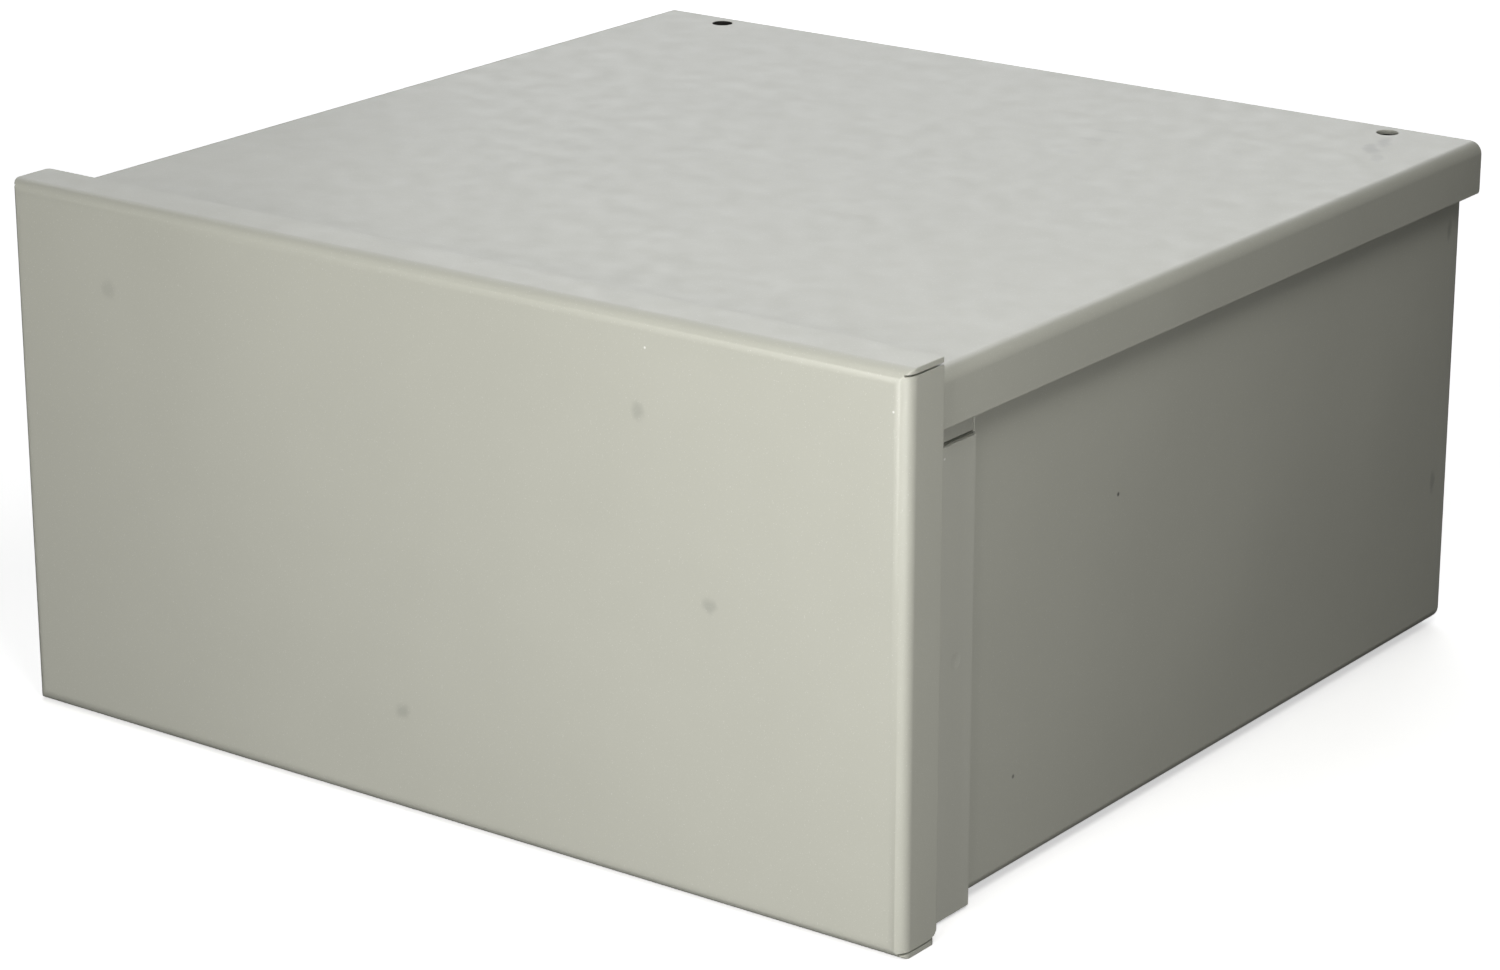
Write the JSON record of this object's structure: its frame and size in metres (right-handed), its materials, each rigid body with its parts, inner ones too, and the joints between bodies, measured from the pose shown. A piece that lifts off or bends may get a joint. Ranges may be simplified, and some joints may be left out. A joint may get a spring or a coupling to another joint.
{
  "type": "residential load center",
  "caption": "Rainproof grey sheet-steel load center with a drip shield, a slip-on cover, a dead front, breakers, bus bars and terminal bars.",
  "frame": {"origin": "middle of the box's footprint, on the surface that it lies on: the plane of its four wall feet and the drip shield's rear edge", "axes": "+Z out of the removable cover, so the part lies on its back as stored; -Y towards the drip shield, which is the top end once it hangs on a wall; +X across the width"},
  "size_m": [0.32, 0.3144, 0.1637],
  "materials": {
    "grey_paint": "light grey powder coat, low satin sheen",
    "zinc_plate": "zinc plated, dull",
    "bare_aluminium": "plain extruded",
    "screw_steel": "plated",
    "black_plastic": "moulded thermoset",
    "dark_plastic": "moulded glass-filled",
    "white_plastic": "moulded"
  },
  "bodies": {
    "case": {"body_shell": "grey_paint", "top_end_wall": "grey_paint", "bottom_end_wall": "grey_paint", "drip_cap": "grey_paint", "dead_front_rail_1": "grey_paint", "dead_front_rail_2": "grey_paint", "dead_front": "grey_paint", "clip_nut_1": "zinc_plate", "clip_nut_2": "zinc_plate", "interior_pan": "zinc_plate", "bus_bar_a": "bare_aluminium", "bus_bar_b": "bare_aluminium", "line_lug_1": "bare_aluminium", "line_lug_2": "bare_aluminium", "neutral_bar": "bare_aluminium", "ground_bar": "bare_aluminium", "pan_screw_1": "screw_steel", "pan_screw_2": "screw_steel", "pan_screw_3": "screw_steel", "pan_screw_4": "screw_steel", "line_lug_screw_1": "screw_steel", "line_lug_screw_2": "screw_steel", "terminal_screw_left_1": "screw_steel", "terminal_screw_left_2": "screw_steel", "terminal_screw_left_3": "screw_steel", "terminal_screw_left_4": "screw_steel", "terminal_screw_right_1": "screw_steel", "terminal_screw_right_2": "screw_steel", "terminal_screw_right_3": "screw_steel", "terminal_screw_right_4": "screw_steel", "neutral_screw_1": "screw_steel", "neutral_screw_2": "screw_steel", "neutral_screw_3": "screw_steel", "neutral_screw_4": "screw_steel", "neutral_lug_screw": "screw_steel", "ground_screw_1": "screw_steel", "ground_screw_2": "screw_steel", "ground_screw_3": "screw_steel", "dead_front_screw_1": "screw_steel", "dead_front_screw_2": "screw_steel", "dead_front_screw_3": "screw_steel", "dead_front_screw_4": "screw_steel", "breaker_left_1": "black_plastic", "breaker_left_2": "black_plastic", "breaker_left_3": "black_plastic", "breaker_left_4": "black_plastic", "breaker_right_1": "black_plastic", "breaker_right_2": "black_plastic", "breaker_right_3": "black_plastic", "base_insulator": "dark_plastic", "neutral_support": "white_plastic"},
    "cover": {"front_cover": "grey_paint"},
    "toggle_left_1_body": {"toggle_left_1": "white_plastic"},
    "toggle_left_2_body": {"toggle_left_2": "white_plastic"},
    "toggle_left_3_body": {"toggle_left_3": "white_plastic"},
    "toggle_left_4_body": {"toggle_left_4": "white_plastic"},
    "toggle_right_1_body": {"toggle_right_1": "white_plastic"},
    "toggle_right_2_body": {"toggle_right_2": "white_plastic"},
    "toggle_right_3_body": {"toggle_right_3": "black_plastic"}
  },
  "joints": [
    {"name": "cover_slide", "type": "slide", "parent": "case", "child": "cover", "axis": [0, 1, 0], "range_m": [0, 0.32]},
    {"name": "toggle_left_1_throw", "type": "hinge", "parent": "case", "child": "toggle_left_1_body", "pos_m": [-0.042, -0.02, 0.09], "axis": [0, -1, 0], "range_deg": [0, 44]},
    {"name": "toggle_left_2_throw", "type": "hinge", "parent": "case", "child": "toggle_left_2_body", "pos_m": [-0.042, 0.0054, 0.09], "axis": [0, -1, 0], "range_deg": [0, 44]},
    {"name": "toggle_left_3_throw", "type": "hinge", "parent": "case", "child": "toggle_left_3_body", "pos_m": [-0.042, 0.0308, 0.09], "axis": [0, -1, 0], "range_deg": [0, 44]},
    {"name": "toggle_left_4_throw", "type": "hinge", "parent": "case", "child": "toggle_left_4_body", "pos_m": [-0.042, 0.0562, 0.09], "axis": [0, -1, 0], "range_deg": [0, 44]},
    {"name": "toggle_right_1_throw", "type": "hinge", "parent": "case", "child": "toggle_right_1_body", "pos_m": [0.042, -0.02, 0.09], "axis": [0, 1, 0], "range_deg": [0, 44]},
    {"name": "toggle_right_2_throw", "type": "hinge", "parent": "case", "child": "toggle_right_2_body", "pos_m": [0.042, 0.0054, 0.09], "axis": [0, 1, 0], "range_deg": [0, 44]},
    {"name": "toggle_right_3_throw", "type": "hinge", "parent": "case", "child": "toggle_right_3_body", "pos_m": [0.042, 0.0435, 0.09], "axis": [0, 1, 0], "range_deg": [0, 44]}
  ]
}
